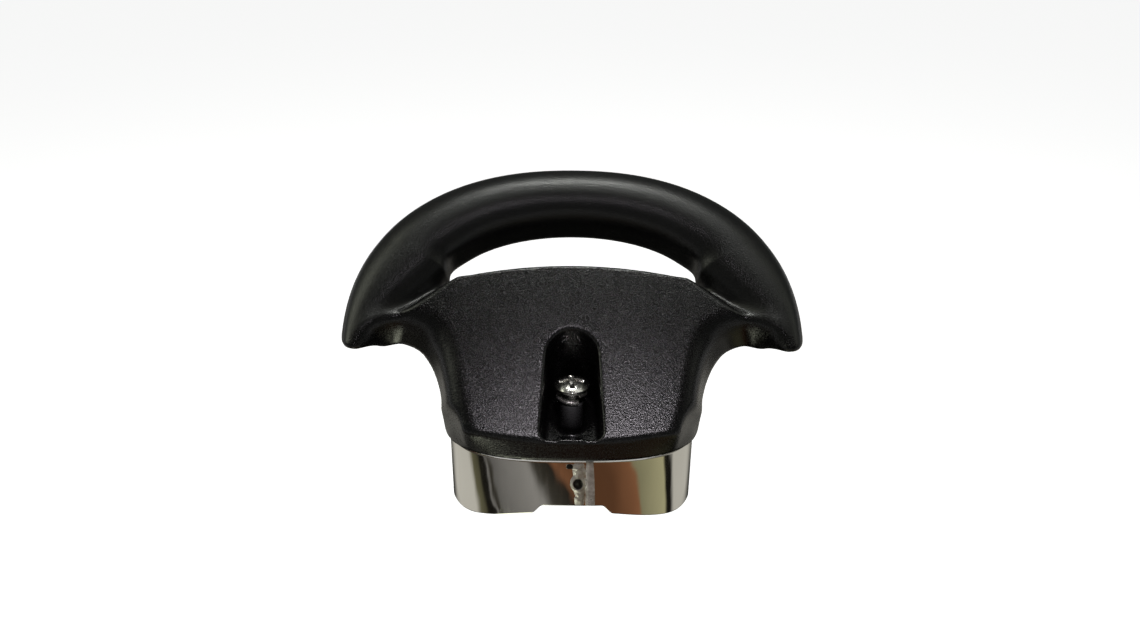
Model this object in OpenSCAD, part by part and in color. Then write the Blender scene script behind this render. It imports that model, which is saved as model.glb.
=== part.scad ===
// Side handle of a pressure cooker: a one-piece moulding, its flame guard sleeve and its screw.
// +Z runs out from the pot along the sleeve, and the origin is where the sleeve's axis meets the pot's wall.

/* [Flame guard] */
// Outside width of the sleeve
guard_width = 66; // [60:0.5:72]
// Outside depth of the sleeve
guard_depth = 34; // [30:0.5:38]
// Thickness of the sheet steel
guard_wall = 0.8; // [0.6:0.1:1.2]
// Length of the sleeve between the moulding and the pot's wall, on the axis
guard_length = 15.6; // [13:0.2:20]
// Radius of the pot that the sleeve's edge is cut to
pot_radius = 110; // [100:5:140]
// Width of the notch in the front edge, at its open side
notch_width = 19.4; // [14:0.2:24]
// Height of the notch above the axis point of the edge
notch_height = 2.3; // [1.5:0.1:4]
// How far each side of the notch leans over its height
notch_lean = 2; // [1:0.1:3]
// Sideways place of the welded seam
seam_offset = 4.4; // [2:0.1:8]
// Width of the pressed seam strip
seam_width = 1.4; // [1:0.1:2]
// How far the seam strip stands proud of the sheet
seam_proud = 0.15; // [0.1:0.05:0.3]

/* [Moulding] */
// Angle between the sloping panel and the sleeve's end plane
panel_slope = 40; // [36:0.5:44]
// Length of the panel from the front fold to the finger opening
panel_length = 49.4; // [48:0.2:52]
// Width of the panel at the front fold, between its corners
panel_width = 56; // [53:0.5:58]
// Height of the front wall from the steel up to the fold
front_wall_height = 6.2; // [5:0.2:8]
// Radius of the edge between the panel and its flanks
flank_radius = 2; // [1:0.1:2.4]
// Thickness of the moulding behind the panel
body_thickness = 17.5; // [16.5:0.5:18.5]
// How far the moulding's rim stands out beyond the sleeve
rim_overhang = 1.1; // [0.8:0.1:1.5]
// Depth of the step in the rim that the sleeve stands in
rim_step = 0.4; // [0.2:0.1:0.8]
// Length of the spigot inside the sleeve
spigot_length = 6.6; // [5:0.2:8]
// Gap between the spigot and the inside of the sleeve
spigot_gap = 0.25; // [0.15:0.05:0.5]

/* [Grip] */
// Overall width over the two horns
grip_span = 126.6; // [122:0.2:130]
// Distance along the panel's plane from the front fold to the top of the grip
grip_reach = 84.4; // [83:0.2:87]
// Distance along the panel's plane from the front fold to the horns' lower ends
horn_level = 30; // [29:0.2:31]
// Thickness of the grip, square to the panel
grip_thickness = 19; // [17:0.2:21]
// How far the grip stands out in front of the panel
grip_rise = 1; // [0:0.1:1.5]
// Slant of the horns' ends, as a rise along the panel for each millimetre of thickness
horn_slant = 0.5; // [0.3:0.05:0.7]
// Width of the finger opening
opening_width = 68; // [65:0.5:70]
// Clear height of the finger opening at its middle, along the panel's plane
opening_height = 16; // [14:0.2:17.5]

/* [Screw pocket] */
// Width of the pocket at its round end
pocket_width = 13.8; // [13:0.2:15]
// Width of the pocket at the front fold
pocket_mouth = 16.2; // [15:0.2:18]
// Distance along the panel from the front fold to the pocket's round end
pocket_end = 31.2; // [29:0.2:33]
// Thickness of the lip left between the pocket and the front fold
pocket_lip = 0.9; // [0.7:0.1:1.6]
// Lean of the pocket's front and back walls towards the fold
pocket_lean = 14; // [10:0.5:16]
// Diameter of the round boss that the screw clamps
boss_diameter = 7.4; // [7:0.1:9]

/* [Fastener] */
// Thread diameter of the screw
screw_diameter = 5; // [4:0.5:5]
// Length of the screw under its head
screw_length = 25; // [24:0.5:28]
// Length of the threaded end
thread_length = 5.6; // [4:0.2:5.8]
// How much thinner than the thread the shank above it is, on the radius
shank_relief = 0.3; // [0.2:0.05:0.4]
// Length of the cone at the screw's end
point_length = 0.5; // [0.3:0.1:1]
// Diameter of the screw's head
head_diameter = 9.5; // [9:0.1:10]
// Height of the screw's head
head_height = 2.7; // [2.2:0.1:3.2]
// Height of the head's seat above the pot's wall
head_seat = 27.9; // [27:0.1:29]
// Outside diameter of the flat washer
washer_diameter = 9; // [8.6:0.1:9.6]
// Thickness of the flat washer
washer_thickness = 0.7; // [0.5:0.1:1]
// Outside diameter of the spring washer
spring_diameter = 9; // [8.6:0.1:9.4]
// Thickness of the spring washer's wire
spring_wire = 1.2; // [1:0.1:1.4]
// Rise of the spring washer between its two cut ends
spring_rise = 1.1; // [0.6:0.1:1.2]
// Gap between the screw and each hole that it passes through
screw_gap = 0.25; // [0.15:0.05:0.4]

/* [Hidden] */

// Resolution of the outlines, of the grip and of the turned parts
outline_steps = 96;
grip_stations = 28;
section_steps = 32;
curve_steps = 4;
turn_facets = 48;

// The sleeve's outline: a power on its width and a power on its depth, 2 being an ellipse
end_power = 3;
side_power = 2.2;

// Places that follow from the sizes above
guard_half_width = guard_width / 2;
guard_half_depth = guard_depth / 2;
rim_half_width = guard_half_width + rim_overhang;
rim_half_depth = guard_half_depth + rim_overhang;
rim_z = guard_length + rim_step;
fold_y = -rim_half_depth;
fold_z = rim_z + front_wall_height;
spigot_base = guard_length - spigot_length;
grip_half = grip_span / 2;
grip_mid = grip_rise - grip_thickness / 2;
horn_centre = horn_level + 2;
opening_half = opening_width / 2;
far_edge = panel_length + opening_height;
panel_half = panel_width / 2;
spring_height = spring_wire + spring_rise;
boss_top = head_seat - washer_thickness - spring_height;
hole_radius = screw_diameter / 2 + screw_gap;
screw_end = head_seat - screw_length;

// Fine shape of the moulding: edge radius, bow of the fold, crown of the opening's near edge
edge_radius = 1.2;
fold_bow = 1.8;
near_edge_radius = 137;
near_edge_bulge = 0.8;
// How deep the base block and the boss reach into the moulding, so that they join it
block_cover = 3;
block_inset = 0.5;
// Floor of the pocket at its front, and the slanted corners at its mouth
pocket_floor = spigot_base + 2.8;
pocket_corner = 1.5;

// A point given across, along and square to the panel, with the middle of the fold as its origin
function on_panel(point) = [
    point[0],
    fold_y + point[1] * cos(panel_slope) - point[2] * sin(panel_slope),
    fold_z + point[1] * sin(panel_slope) + point[2] * cos(panel_slope)
];

// The same change of axes the other way round
function to_panel(point) = [
    point[0],
    (point[1] - fold_y) * cos(panel_slope) + (point[2] - fold_z) * sin(panel_slope),
    -(point[1] - fold_y) * sin(panel_slope) + (point[2] - fold_z) * cos(panel_slope)
];

function signed_power(value, power) = sign(value) * pow(abs(value), power);
function mix(a, b, share) = a + (b - a) * share;
function unit(v) = v / norm(v);

// The sleeve's outline at a given half width and half depth
function guard_outline(half_width, half_depth) = [
    for (i = [0 : outline_steps - 1])
        let (turn = 360 * i / outline_steps)
        [half_width * signed_power(cos(turn), 2 / end_power),
         half_depth * signed_power(sin(turn), 2 / side_power)]
];

// Front line of the rim at a share of its half width, on the panel's axes
function rim_point(share) = to_panel([
    share * rim_half_width,
    -rim_half_depth * pow(1 - pow(share, end_power), 1 / side_power),
    rim_z
]);

// Near edge of the finger opening, a shallow arc
function near_edge(across) = panel_length - across * across / (2 * near_edge_radius);

// One point of a smooth curve through four neighbours, between the middle two
function curve_point(a, b, c, d, t) =
    0.5 * (2 * b + (c - a) * t + (2 * a - 5 * b + 4 * c - d) * t * t + (3 * b - a - 3 * c + d) * t * t * t);

// A closed smooth ring through the points of its right half, mirrored to the left
function mirrored(half) = concat(half, [for (i = [len(half) - 2 : -1 : 1]) [-half[i][0], half[i][1], half[i][2]]]);
function smooth_ring(points) = let (count = len(points)) [
    for (i = [0 : count - 1], step = [0 : curve_steps - 1])
        curve_point(points[(i + count - 1) % count], points[i], points[(i + 1) % count],
                    points[(i + 2) % count], step / curve_steps)
];

// Walls between rings that have the same number of points, and a cap that zips a mirrored ring shut
function wall_faces(rings, count) = [
    for (r = [0 : rings - 2], i = [0 : count - 1])
        let (a = r * count + i, b = r * count + (i + 1) % count, c = b + count, d = a + count)
        each [[a, b, c], [a, c, d]]
];
function zip_faces(first, count, up) = [
    for (i = [0 : count / 2 - 1])
        let (a = first + i, b = first + i + 1,
             c = first + (count - i - 1) % count, d = first + (count - i) % count)
        each (i == 0 ? (up ? [[a, c, b]] : [[a, b, c]]) :
              i == count / 2 - 1 ? (up ? [[a, d, b]] : [[a, b, d]]) :
              up ? [[a, d, c], [a, c, b]] : [[a, c, d], [a, b, c]])
];

// Right half of the shield's front edge, from the fold round the wing to the finger opening
shield_front = [
    [0, 0, 0],
    [0.35 * panel_half, 0.12 * fold_bow, 0],
    [0.7 * panel_half, 0.5 * fold_bow, 0],
    [0.92 * panel_half, 0.9 * fold_bow, 0],
    [panel_half + 0.5, 4.2, 0],
    [panel_half + 2.6, 0.35 * horn_level, 0],
    [panel_half + 4.2, 0.6 * horn_level, 0],
    [panel_half + 5.6, 0.82 * horn_level, 0],
    [panel_half + 7.8, horn_level + 0.5, 0],
    [panel_half + 11.8, horn_level + 3.2, 0],
    [grip_half - 12.8, horn_level + 4.5, 0],
    [grip_half - 18.8, horn_level + 8.4, 0],
    [opening_half + 2.2, panel_length - 5.6, 0],
    [0.92 * opening_half, near_edge(0.92 * opening_half), 0],
    [0.7 * opening_half, near_edge(0.7 * opening_half), 0],
    [0.35 * opening_half, near_edge(0.35 * opening_half), 0],
    [0, panel_length, 0]
];

// The widest line of the shield: the rim at the front, then the flank under the wing
shield_middle = [
    rim_point(0),
    rim_point(0.31),
    rim_point(0.62),
    rim_point(0.81),
    rim_point(0.925),
    rim_point(0.997),
    [rim_half_width + 1.7, 0.61 * horn_level, grip_mid],
    [rim_half_width + 3.8, 0.77 * horn_level, grip_mid],
    [rim_half_width + 6.9, horn_level - 2.3, grip_mid],
    [rim_half_width + 12.9, horn_level, grip_mid],
    [grip_half - 5.5, horn_level, grip_mid],
    [grip_half - 15, horn_level + 8.5, grip_mid],
    [opening_half + 3.2, panel_length - 4.4, grip_mid],
    [0.92 * opening_half, near_edge(0.92 * opening_half) + near_edge_bulge, grip_mid],
    [0.7 * opening_half, near_edge(0.7 * opening_half) + near_edge_bulge, grip_mid],
    [0.35 * opening_half, near_edge(0.35 * opening_half) + near_edge_bulge, grip_mid],
    [0, panel_length + near_edge_bulge, grip_mid]
];

// The flat back of the shield, drawn in from the widest line and rising out of the base block
shield_back = [
    [0, 17.5, -body_thickness],
    [8, 17.6, -body_thickness],
    [16, 17.8, -body_thickness],
    [22, 18.2, -body_thickness],
    [26, 19, -body_thickness],
    [28, 20.6, -body_thickness],
    [rim_half_width - 2.1, 24, -body_thickness],
    [rim_half_width + 0.4, 28.5, -body_thickness],
    [rim_half_width + 3.9, horn_level + 2.8, -body_thickness],
    [rim_half_width + 9.9, horn_level + 5.2, -body_thickness],
    [grip_half - 10, horn_level + 6.2, -body_thickness],
    [grip_half - 16, horn_level + 10, -body_thickness],
    [opening_half, panel_length - 8.4, -body_thickness],
    [0.92 * opening_half, near_edge(0.92 * opening_half) - 3, -body_thickness],
    [0.7 * opening_half, near_edge(0.7 * opening_half) - 3, -body_thickness],
    [0.35 * opening_half, near_edge(0.35 * opening_half) - 3, -body_thickness],
    [0, panel_length - 3, -body_thickness]
];

// The last of the points on the fold, on the rim and on the wing, and the line inside the rim, hidden in the block
fold_points = 3;
rim_points = 5;
wing_points = 10;
rim_inner_scale = 0.88;
rim_inner_rise = 1.5;
back_edge_height = 2.5;
back_round_height = 1;
function inner_rim(point) = let (at = on_panel(point))
    to_panel([at[0] * rim_inner_scale, at[1] * rim_inner_scale, at[2] + rim_inner_rise]);
shield_under = [
    for (i = [0 : len(shield_middle) - 1])
        i <= rim_points ? inner_rim(shield_middle[i]) :
        let (flat = mix(shield_middle[i], shield_back[i], 0.12), depth = body_thickness + grip_mid - back_edge_height)
        [flat[0], i <= wing_points ? shield_middle[i][1] + horn_slant * depth : flat[1], back_edge_height - body_thickness]
];
shield_turn = [
    for (i = [0 : len(shield_middle) - 1])
        let (soft = mix(shield_under[i], shield_back[i], i <= rim_points ? 0.8 : 0.4))
        i <= rim_points ? soft : [soft[0], soft[1], back_round_height - body_thickness]
];

// Rings of the rounded front edge: the start of the round, its corner and its end on the flank
function edge_ring(t) = [
    for (i = [0 : len(shield_front) - 1])
        let (front = shield_front[i], out = shield_middle[i] - front,
             radius = i > fold_points && i <= wing_points ? flank_radius : edge_radius,
             start = front - radius * unit([out[0], out[1], 0]), end = front + radius * unit(out))
        mix(mix(start, front, t), mix(front, end, t), t)
];

// Nothing of the shield reaches below the rim
function above_rim(point) = [point[0], point[1], max(point[2], rim_z)];

module shield() {
    halves = [edge_ring(0), edge_ring(0.33), edge_ring(0.67), edge_ring(1),
              shield_middle, shield_under, shield_turn, shield_back];
    rings = [for (half = halves) smooth_ring(mirrored(half))];
    count = len(rings[0]);
    points = [for (ring = rings, point = ring) above_rim(on_panel(point))];
    faces = concat(zip_faces(0, count, true), wall_faces(len(rings), count),
                   zip_faces((len(rings) - 1) * count, count, false));
    polyhedron(points = points, faces = faces);
}

// Edges of the grip at a station from 0, its top, to 1, its horn
corner_station = 0.62;
corner_angle = 84;
far_edge_centre = panel_length - 1.4;
outer_power = 2.25;
horn_inner = [grip_half - 8, horn_level - 0.4];
function opening_edge(angle) = [opening_half * sin(angle), far_edge_centre + (far_edge - far_edge_centre) * cos(angle)];
function inner_edge(station) = station < corner_station ?
    opening_edge(corner_angle * station / corner_station) :
    mix(opening_edge(corner_angle), horn_inner, (station - corner_station) / (1 - corner_station));
function outer_edge(station) = [
    grip_half * pow(sin(90 * station), 2 / outer_power),
    horn_centre + (grip_reach - horn_centre) * pow(max(0, cos(90 * station)), 2 / outer_power)
];

// An oval section between two edge points, with a share of the full thickness
section_power = 2.2;
function grip_section(inner, outer, share, slant) = [
    for (k = [0 : section_steps - 1])
        let (turn = 360 * k / section_steps,
             along = (1 - signed_power(cos(turn), 2 / section_power)) / 2,
             height = share * grip_thickness / 2 * signed_power(sin(turn), 2 / section_power),
             flat = mix(inner, outer, along))
        [flat[0], flat[1] - slant * height, grip_mid + height]
];

// The slant grows from the corner of the opening to the horn's end
function slant_at(station) = horn_slant * pow(max(0, station - corner_station) / (1 - corner_station), 2);

// The horn's rounded end: shifts of its inner and outer edge points and its thickness at each step down
horn_round = [
    [[0.2, -0.2], [-0.15, -0.9], 0.985],
    [[0.6, -0.3], [-0.7, -1.7], 0.95],
    [[1.2, -0.4], [-1.7, -2.2], 0.9]
];
function half_sections() = concat(
    [for (i = [0 : grip_stations]) let (station = i / grip_stations)
        grip_section(inner_edge(station), outer_edge(station), 1, slant_at(station))],
    [for (step = horn_round)
        grip_section(horn_inner + step[0], outer_edge(1) + step[1], step[2], horn_slant)]
);
function flipped(section) = [for (point = section) [-point[0], point[1], point[2]]];

module grip() {
    right = half_sections();
    last = len(right) - 1;
    sections = concat([for (i = [last : -1 : 1]) flipped(right[i])], right);
    points = [for (section = sections, point = section) on_panel(point)];
    tail = (len(sections) - 1) * section_steps;
    faces = concat(
        wall_faces(len(sections), section_steps),
        [for (k = [1 : section_steps - 2]) [0, k + 1, k]],
        [for (k = [1 : section_steps - 2]) [tail, tail + k, tail + k + 1]]
    );
    polyhedron(points = points, faces = faces);
}

// Everything on the pot's side of a plane that lies a given depth behind the panel
module behind_panel(depth) {
    size = 4 * grip_span;
    translate([0, fold_y, fold_z])
        rotate([panel_slope, 0, 0])
            translate([-size / 2, -size / 2, -size - depth])
                cube(size);
}

module base_block() {
    intersection() {
        union() {
            translate([0, 0, rim_z])
                linear_extrude(height = grip_reach)
                    polygon(guard_outline(rim_half_width - block_inset, rim_half_depth - block_inset));
            translate([0, 0, guard_length])
                linear_extrude(height = rim_step + block_cover)
                    polygon(guard_outline(guard_half_width, guard_half_depth));
            translate([0, 0, spigot_base])
                linear_extrude(height = spigot_length + block_cover)
                    polygon(guard_outline(guard_half_width - guard_wall - spigot_gap,
                                          guard_half_depth - guard_wall - spigot_gap));
        }
        behind_panel(block_cover);
    }
}

// The pocket: a slot with a round end, cut along the lean of its front and back walls
pocket_front = on_panel([0, pocket_lip, 0]);
pocket_depth = (pocket_end - pocket_lip) * cos(panel_slope - pocket_lean);
pocket_drop = (pocket_front[2] - pocket_floor) / cos(pocket_lean);
module pocket() {
    round = pocket_width / 2;
    half_mouth = pocket_mouth / 2;
    sweep = [for (i = [0 : turn_facets / 2]) 180 * i / (turn_facets / 2)];
    outline = concat(
        [[-half_mouth + pocket_corner, 0], [half_mouth - pocket_corner, 0], [half_mouth, pocket_corner]],
        [for (turn = sweep) [round * cos(turn), pocket_depth - round + round * sin(turn)]],
        [[-half_mouth, pocket_corner]]
    );
    translate(pocket_front)
        rotate([pocket_lean, 0, 0])
            translate([0, 0, -pocket_drop])
                linear_extrude(height = pocket_drop + pocket_end)
                    polygon(outline);
}

module handle_body() {
    color([0.13, 0.13, 0.14])
    difference() {
        union() {
            difference() {
                union() {
                    shield();
                    grip();
                    base_block();
                }
                pocket();
            }
            translate([0, 0, spigot_base])
                cylinder(d = boss_diameter, h = boss_top - spigot_base, $fn = turn_facets);
        }
        translate([0, 0, spigot_base - 1])
            cylinder(r = hole_radius, h = boss_top - spigot_base + 2, $fn = turn_facets);
    }
}

// The notch in the front edge, wider at its open side
module notch() {
    low = pot_radius - sqrt(pot_radius * pot_radius - notch_width * notch_width / 4) + 1;
    rotate([90, 0, 0])
        linear_extrude(height = guard_depth)
            polygon([
                [-notch_width / 2 - notch_lean * low / notch_height, -low],
                [notch_width / 2 + notch_lean * low / notch_height, -low],
                [notch_width / 2 - notch_lean, notch_height],
                [-notch_width / 2 + notch_lean, notch_height]
            ]);
}

module flame_guard() {
    color([0.78, 0.78, 0.77])
    difference() {
        union() {
            translate([0, 0, -guard_depth])
                linear_extrude(height = guard_length + guard_depth)
                    difference() {
                        polygon(guard_outline(guard_half_width, guard_half_depth));
                        polygon(guard_outline(guard_half_width - guard_wall, guard_half_depth - guard_wall));
                    }
            translate([seam_offset - seam_width / 2, -guard_half_depth - seam_proud, -guard_depth])
                cube([seam_width, guard_wall, guard_length + guard_depth]);
        }
        translate([0, guard_depth, -pot_radius])
            rotate([90, 0, 0])
                cylinder(r = pot_radius, h = 2 * guard_depth, $fn = 4 * turn_facets);
        notch();
    }
}

// The screw: a threaded end, a thinner shank, and a low domed head on a short rim with a cross recess
module screw() {
    rim_height = 0.25 * head_height;
    crown = head_height - rim_height;
    head_radius = head_diameter / 2;
    dome_radius = (crown * crown + head_radius * head_radius) / (2 * crown);
    recess_width = 0.17 * head_diameter;
    recess_span = 0.56 * head_diameter;
    recess_depth = 0.6 * head_height;
    shank_diameter = screw_diameter - 2 * shank_relief;
    color([0.75, 0.75, 0.74])
    difference() {
        union() {
            translate([0, 0, screw_end])
                cylinder(d1 = screw_diameter - 2 * point_length, d2 = screw_diameter, h = point_length, $fn = turn_facets);
            translate([0, 0, screw_end + point_length])
                cylinder(d = screw_diameter, h = thread_length - point_length, $fn = turn_facets);
            translate([0, 0, screw_end + thread_length])
                cylinder(d = shank_diameter, h = screw_length - thread_length, $fn = turn_facets);
            translate([0, 0, head_seat])
                cylinder(d = head_diameter, h = rim_height, $fn = turn_facets);
            intersection() {
                translate([0, 0, head_seat + head_height - dome_radius])
                    sphere(r = dome_radius, $fn = 2 * turn_facets);
                translate([0, 0, head_seat + rim_height])
                    cylinder(d = head_diameter, h = head_height, $fn = turn_facets);
            }
        }
        for (turn = [0, 90])
            translate([0, 0, head_seat + head_height])
                rotate([0, 0, turn])
                    cube([recess_span, recess_width, 2 * recess_depth], center = true);
    }
}

// A split ring that climbs from one cut end to the other
module spring_washer() {
    inner = hole_radius;
    outer = spring_diameter / 2;
    stations = 48;
    split = 8;
    start = -50;
    ring = [for (i = [0 : stations])
        let (share = i / stations, turn = start + split / 2 + (360 - split) * share, low = boss_top + spring_rise * share)
        each [
            [inner * cos(turn), inner * sin(turn), low],
            [outer * cos(turn), outer * sin(turn), low],
            [outer * cos(turn), outer * sin(turn), low + spring_wire],
            [inner * cos(turn), inner * sin(turn), low + spring_wire]
        ]];
    tail = 4 * stations;
    color([0.72, 0.71, 0.69])
    polyhedron(points = ring, faces = concat(
        [for (f = wall_faces(stations + 1, 4)) [f[0], f[2], f[1]]],
        [[0, 1, 2], [0, 2, 3]],
        [[tail, tail + 2, tail + 1], [tail, tail + 3, tail + 2]]
    ));
}

module flat_washer() {
    color([0.74, 0.74, 0.72])
    translate([0, 0, head_seat - washer_thickness])
        difference() {
            cylinder(d = washer_diameter, h = washer_thickness, $fn = turn_facets);
            translate([0, 0, -1])
                cylinder(r = hole_radius, h = washer_thickness + 2, $fn = turn_facets);
        }
}

handle_body();
flame_guard();
screw();
spring_washer();
flat_washer();
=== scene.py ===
"""Looks of a pressure cooker's side handle: a grained black moulding, a mirror polished sleeve and its screw."""
import math

import bpy
import numpy as np
from mathutils import Matrix, Vector


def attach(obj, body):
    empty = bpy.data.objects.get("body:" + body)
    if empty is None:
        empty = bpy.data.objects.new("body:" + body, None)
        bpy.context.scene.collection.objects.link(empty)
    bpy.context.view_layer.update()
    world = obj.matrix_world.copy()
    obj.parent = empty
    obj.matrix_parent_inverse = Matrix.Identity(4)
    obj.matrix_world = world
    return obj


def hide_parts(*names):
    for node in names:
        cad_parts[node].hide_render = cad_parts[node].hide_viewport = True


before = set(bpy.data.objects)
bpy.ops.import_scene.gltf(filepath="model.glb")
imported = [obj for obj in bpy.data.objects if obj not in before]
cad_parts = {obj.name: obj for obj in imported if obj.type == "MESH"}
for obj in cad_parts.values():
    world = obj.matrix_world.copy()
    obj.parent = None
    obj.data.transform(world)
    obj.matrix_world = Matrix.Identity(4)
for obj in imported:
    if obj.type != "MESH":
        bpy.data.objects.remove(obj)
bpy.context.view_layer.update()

MM = 0.001
SLOPE = math.radians(40)
FOLD_Y, FOLD_Z = -18.1, 22.2

# Main sizes in millimetres, those of the solids or within about a millimetre of them
GUARD_X, GUARD_Y, GUARD_WALL, GUARD_TOP, POT_RADIUS = 33.0, 17.0, 0.8, 15.6, 110.0
GUARD_POWER_X, GUARD_POWER_Y = 3.0, 2.2
NOTCH_X, NOTCH_HALF, NOTCH_TOP = 0.3, 9.95, 1.15
RIM_X, RIM_Y, RIM_Z, SPIGOT_Z, SPIGOT_GAP = 34.35, 18.2, 16.0, 9.0, 0.25
PANEL_END, OPENING_HALF, OPENING_LEVEL, OPENING_TOP = 50.25, 34.8, 48, 65.0
GRIP_HALF, GRIP_REACH, GRIP_THICK, GRIP_MID, GRIP_POWER = 62.7, 84.0, 19.0, -8.5, 2.2
BACK_N, WING_END, HORN_LEVEL, HORN_SLANT = -17.5, 51.8, 31.5, 0.9
POCKET_LIP, POCKET_DROP = 0.9, 11.3
BOSS_TOP, BOSS_RADIUS, BORE_RADIUS = 23.9, 3.7, 2.75
HEAD_SEAT, HEAD_RADIUS, SCREW_TIP, THREAD_RADIUS, THREAD_PITCH = 27.9, 4.75, 2.9, 2.49, 0.8
FLAT_THICK, SPRING_WIRE, SPRING_RISE = 0.7, 1.2, 2.1


# ---------------------------------------------------------------- meshes

def set_piece(name, data, node):
    """The mesh as a smooth shaded object that rides on the handle, in place of a node where one is named."""
    data.validate()
    data.polygons.foreach_set("use_smooth", np.full(len(data.polygons), True))
    piece = bpy.data.objects.new(name, data)
    bpy.context.scene.collection.objects.link(piece)
    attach(piece, "root")
    if node:
        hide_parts(node)
    return piece


def quad_piece(name, points, quads, node=None):
    """A piece from points in millimetres and quads."""
    data = bpy.data.meshes.new(name)
    points, quads = np.asarray(points, float) * MM, np.asarray(quads, int)
    data.vertices.add(len(points))
    data.vertices.foreach_set("co", points.ravel())
    data.loops.add(quads.size)
    data.loops.foreach_set("vertex_index", quads.ravel())
    data.polygons.add(len(quads))
    data.polygons.foreach_set("loop_start", np.arange(0, quads.size, 4))
    data.update(calc_edges=True)
    return set_piece(name, data, node)


def capped_piece(name, points, quads, triangles, node):
    """A piece of quads and of the triangles that close its ends."""
    data = bpy.data.meshes.new(name)
    data.from_pydata((np.asarray(points) * MM).tolist(), [], quads.tolist() + triangles.tolist())
    return set_piece(name, data, node)


def grid_faces(rows, columns, close_rows=False, close_columns=False):
    """Quads of a grid of points, row after row; a closed direction joins its last line to its first."""
    i = np.arange(rows if close_rows else rows - 1)[:, None]
    j = np.arange(columns if close_columns else columns - 1)[None, :]
    i2, j2 = (i + 1) % rows, (j + 1) % columns
    quad = [i * columns + j, i * columns + j2, i2 * columns + j2, i2 * columns + j]
    return np.stack([np.broadcast_to(q, (i.size, j.size)) for q in quad], -1).reshape(-1, 4)


def mix(a, b, share):
    """What lies between a and b at a share of the way."""
    return a + (b - a) * share


def smooth_max(a, b, soft):
    """The larger of two fields, with the crease between them rounded over the width soft."""
    h = np.clip(0.5 + 0.5 * (a - b) / soft, 0, 1)
    return mix(b, a, h) + soft * h * (1 - h)


def smooth_min(a, b, soft):
    return -smooth_max(-a, -b, soft)


def smooth_step(x, start, end):
    """From 0 at the start to 1 at the end, level at both."""
    t = np.clip((x - start) / (end - start), 0, 1)
    return t * t * (3 - 2 * t)


# ---------------------------------------------------------------- outlines as tables of signed distance

def smooth_line(points, steps=10):
    """A smooth open curve through the points: on each stretch the cubic whose slope at a point is half the chord
    between its neighbours."""
    p = np.asarray(points, float)
    p = np.vstack([2 * p[0] - p[1], p, 2 * p[-1] - p[-2]])
    t = (np.arange(steps) / steps)[None, :, None]
    a, b, c, d = p[:-3, None], p[1:-2, None], p[2:-1, None], p[3:, None]
    curve = 0.5 * (2 * b + (c - a) * t + (2 * a - 5 * b + 4 * c - d) * t**2 + (3 * b - a - 3 * c + d) * t**3)
    return np.vstack([curve.reshape(-1, 2), p[-2]])


class Outline:
    """Signed distance to a curve, negative inside the region that the curve and the closing points bound, kept on a
    fine grid."""

    def __init__(self, curve, closing, low, high, step=0.5):
        curve = np.asarray(curve, float)
        self.low, self.step = np.asarray(low, float), step
        u = np.arange(low[0], high[0] + step, step)
        v = np.arange(low[1], high[1] + step, step)
        self.shape = (len(u), len(v))
        gu, gv = (g.ravel()[:, None] for g in np.meshgrid(u, v, indexing="ij"))
        best = np.full(gu.size, 1e9)
        for start in range(0, len(curve) - 1, 64):
            a, b = curve[start:-1][:64], curve[start + 1:][:64]
            d = b - a
            share = np.clip(((gu - a[:, 0]) * d[:, 0] + (gv - a[:, 1]) * d[:, 1]) / (d**2).sum(1), 0, 1)
            gap = (gu - a[:, 0] - share * d[:, 0])**2 + (gv - a[:, 1] - share * d[:, 1])**2
            best = np.minimum(best, gap.min(1))
        loop = np.vstack([curve, np.asarray(closing, float).reshape(-1, 2)])
        after = np.roll(loop, -1, axis=0)
        rise = np.where(after[:, 1] == loop[:, 1], 1e-12, after[:, 1] - loop[:, 1])
        crossed = (loop[:, 1] > gv) != (after[:, 1] > gv)
        left = gu + 1e-6 < (after[:, 0] - loop[:, 0]) * (gv - loop[:, 1]) / rise + loop[:, 0]
        within = (crossed & left).sum(1) % 2 == 1
        self.table = (np.where(within, -1.0, 1.0) * np.sqrt(best)).reshape(self.shape)

    def __call__(self, u, v):
        fu = np.clip((u - self.low[0]) / self.step, 0, self.shape[0] - 1.001)
        fv = np.clip((v - self.low[1]) / self.step, 0, self.shape[1] - 1.001)
        i, j = fu.astype(int), fv.astype(int)
        a, b = fu - i, fv - j
        t = self.table
        return (t[i, j] * (1 - a) * (1 - b) + t[i + 1, j] * a * (1 - b)
                + t[i, j + 1] * (1 - a) * b + t[i + 1, j + 1] * a * b)


def signed_power(value, power):
    """A power of the value's size, with the value's sign."""
    return np.sign(value) * np.abs(value)**power


def oval(half_x, half_y, turn):
    """The sleeve's outline: a power of 3 on its width and of 2.2 on its depth."""
    return np.stack([half_x * signed_power(np.cos(turn), 2 / GUARD_POWER_X),
                     half_y * signed_power(np.sin(turn), 2 / GUARD_POWER_Y)], -1)


PANEL_LOW, PANEL_HIGH = (0, -34), (72, 94)
PLAN_LOW, PLAN_HIGH = (0, -30), (70, 64)
FAR = 120.0


def near_edge(across):
    """Edge of the panel at the finger opening, a shallow arc."""
    return PANEL_END - across**2 / 264.0


def region_above(points):
    """What lies above the fold of a flank and the underside of a wing."""
    curve = np.vstack([[points[0][0], -FAR], smooth_line(points), [88, points[-1][1] - 4]])
    return Outline(curve, [[88, FAR], [0, FAR], [0, -FAR]], PANEL_LOW, PANEL_HIGH)


def region_below(lift, points):
    """What lies below the edge at the finger opening, lifted, and the ridge of a wing."""
    across = np.linspace(0, points[0][0], 16)
    edge = np.stack([across, near_edge(across) + lift], -1)
    curve = np.vstack([edge, smooth_line(points)[1:], [88, 8]])
    return Outline(curve, [[88, -FAR], [0, -FAR]], PANEL_LOW, PANEL_HIGH)


def plan_region(curve):
    """What lies within a curve of the plan, which the middle line closes."""
    return Outline(curve, [], PLAN_LOW, PLAN_HIGH)


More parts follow.
